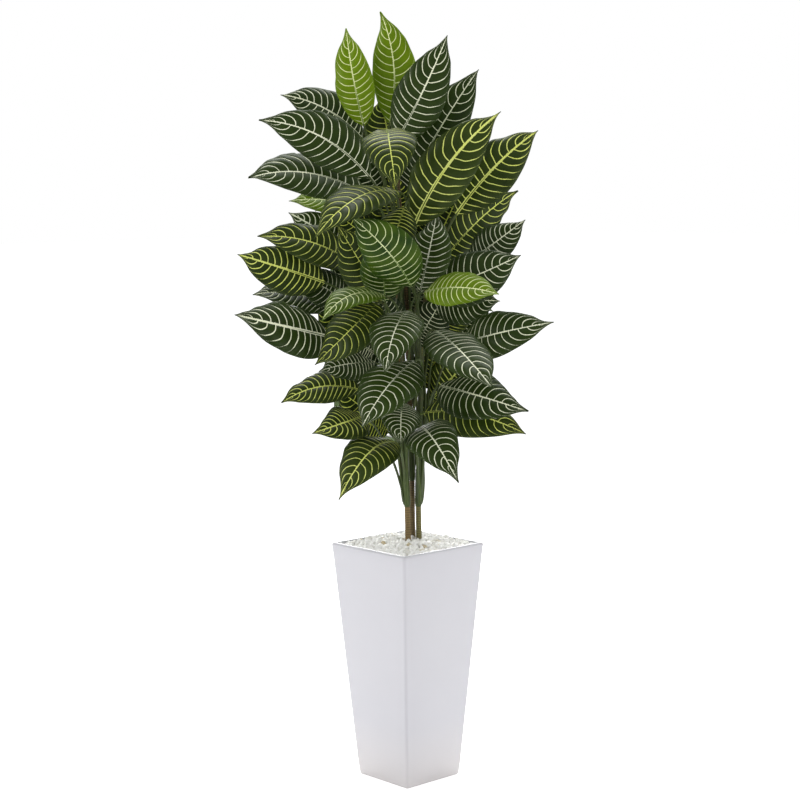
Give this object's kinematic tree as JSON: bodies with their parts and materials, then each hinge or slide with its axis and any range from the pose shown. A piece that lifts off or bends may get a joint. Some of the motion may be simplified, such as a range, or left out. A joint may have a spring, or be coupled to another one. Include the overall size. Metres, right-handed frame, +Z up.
{
  "type": "potted zebra plant",
  "caption": "Tall zebra plant with striped leaves on slim canes, standing in a tall tapered square planter topped with white pebbles.",
  "frame": {"origin": "centre of the planter's flat underside", "axes": "+Z up along the planter and canes; X and Y square to the planter's faces; the plant's front looks between +X and -Y, over one upright edge of the planter"},
  "size_m": [0.5413, 0.5986, 1.36],
  "materials": {
    "planter": "smooth white glaze, satin gloss",
    "potting_mix": "dark packed bark potting mix",
    "pebbles": "small tumbled white marble pebbles",
    "canes": "ribbed brown cane with green leaf stalks",
    "leaf_white": "dark green blade with creamy white veins, satin",
    "leaf_yellow": "dark green blade with yellow green veins, satin",
    "leaf_bright": "young bright green blade with pale veins, satin"
  },
  "bodies": {
    "root": {"planter": "planter", "potting_base": "potting_mix", "pebble_bed": "pebbles", "stem_left": "canes", "stem_center": "canes", "stem_right": "canes", "left_leaf_01": "leaf_yellow", "left_leaf_02": "leaf_white", "left_leaf_03": "leaf_bright", "left_leaf_04": "leaf_white", "left_leaf_05": "leaf_yellow", "left_leaf_06": "leaf_yellow", "left_leaf_07": "leaf_white", "left_leaf_08": "leaf_white", "left_leaf_09": "leaf_bright", "left_leaf_10": "leaf_yellow", "left_leaf_11": "leaf_white", "left_leaf_12": "leaf_yellow", "left_leaf_13": "leaf_yellow", "left_leaf_14": "leaf_white", "left_leaf_15": "leaf_white", "left_leaf_16": "leaf_yellow", "left_leaf_17": "leaf_white", "left_leaf_18": "leaf_bright", "left_leaf_19": "leaf_yellow", "left_leaf_20": "leaf_white", "left_leaf_21": "leaf_yellow", "left_leaf_22": "leaf_yellow", "center_leaf_01": "leaf_bright", "center_leaf_02": "leaf_bright", "center_leaf_03": "leaf_white", "center_leaf_04": "leaf_white", "center_leaf_05": "leaf_yellow", "center_leaf_06": "leaf_white", "center_leaf_07": "leaf_white", "center_leaf_08": "leaf_white", "center_leaf_09": "leaf_yellow", "center_leaf_10": "leaf_yellow", "center_leaf_11": "leaf_white", "center_leaf_12": "leaf_white", "center_leaf_13": "leaf_white", "center_leaf_14": "leaf_yellow", "center_leaf_15": "leaf_yellow", "center_leaf_16": "leaf_white", "right_leaf_01": "leaf_yellow", "right_leaf_02": "leaf_yellow", "right_leaf_03": "leaf_yellow", "right_leaf_04": "leaf_white", "right_leaf_05": "leaf_white", "right_leaf_06": "leaf_yellow", "right_leaf_07": "leaf_white", "right_leaf_08": "leaf_white", "right_leaf_09": "leaf_bright", "right_leaf_10": "leaf_white", "right_leaf_11": "leaf_white", "right_leaf_12": "leaf_white", "right_leaf_13": "leaf_bright", "right_leaf_14": "leaf_yellow", "right_leaf_15": "leaf_white", "right_leaf_16": "leaf_yellow"}
  },
  "joints": []
}
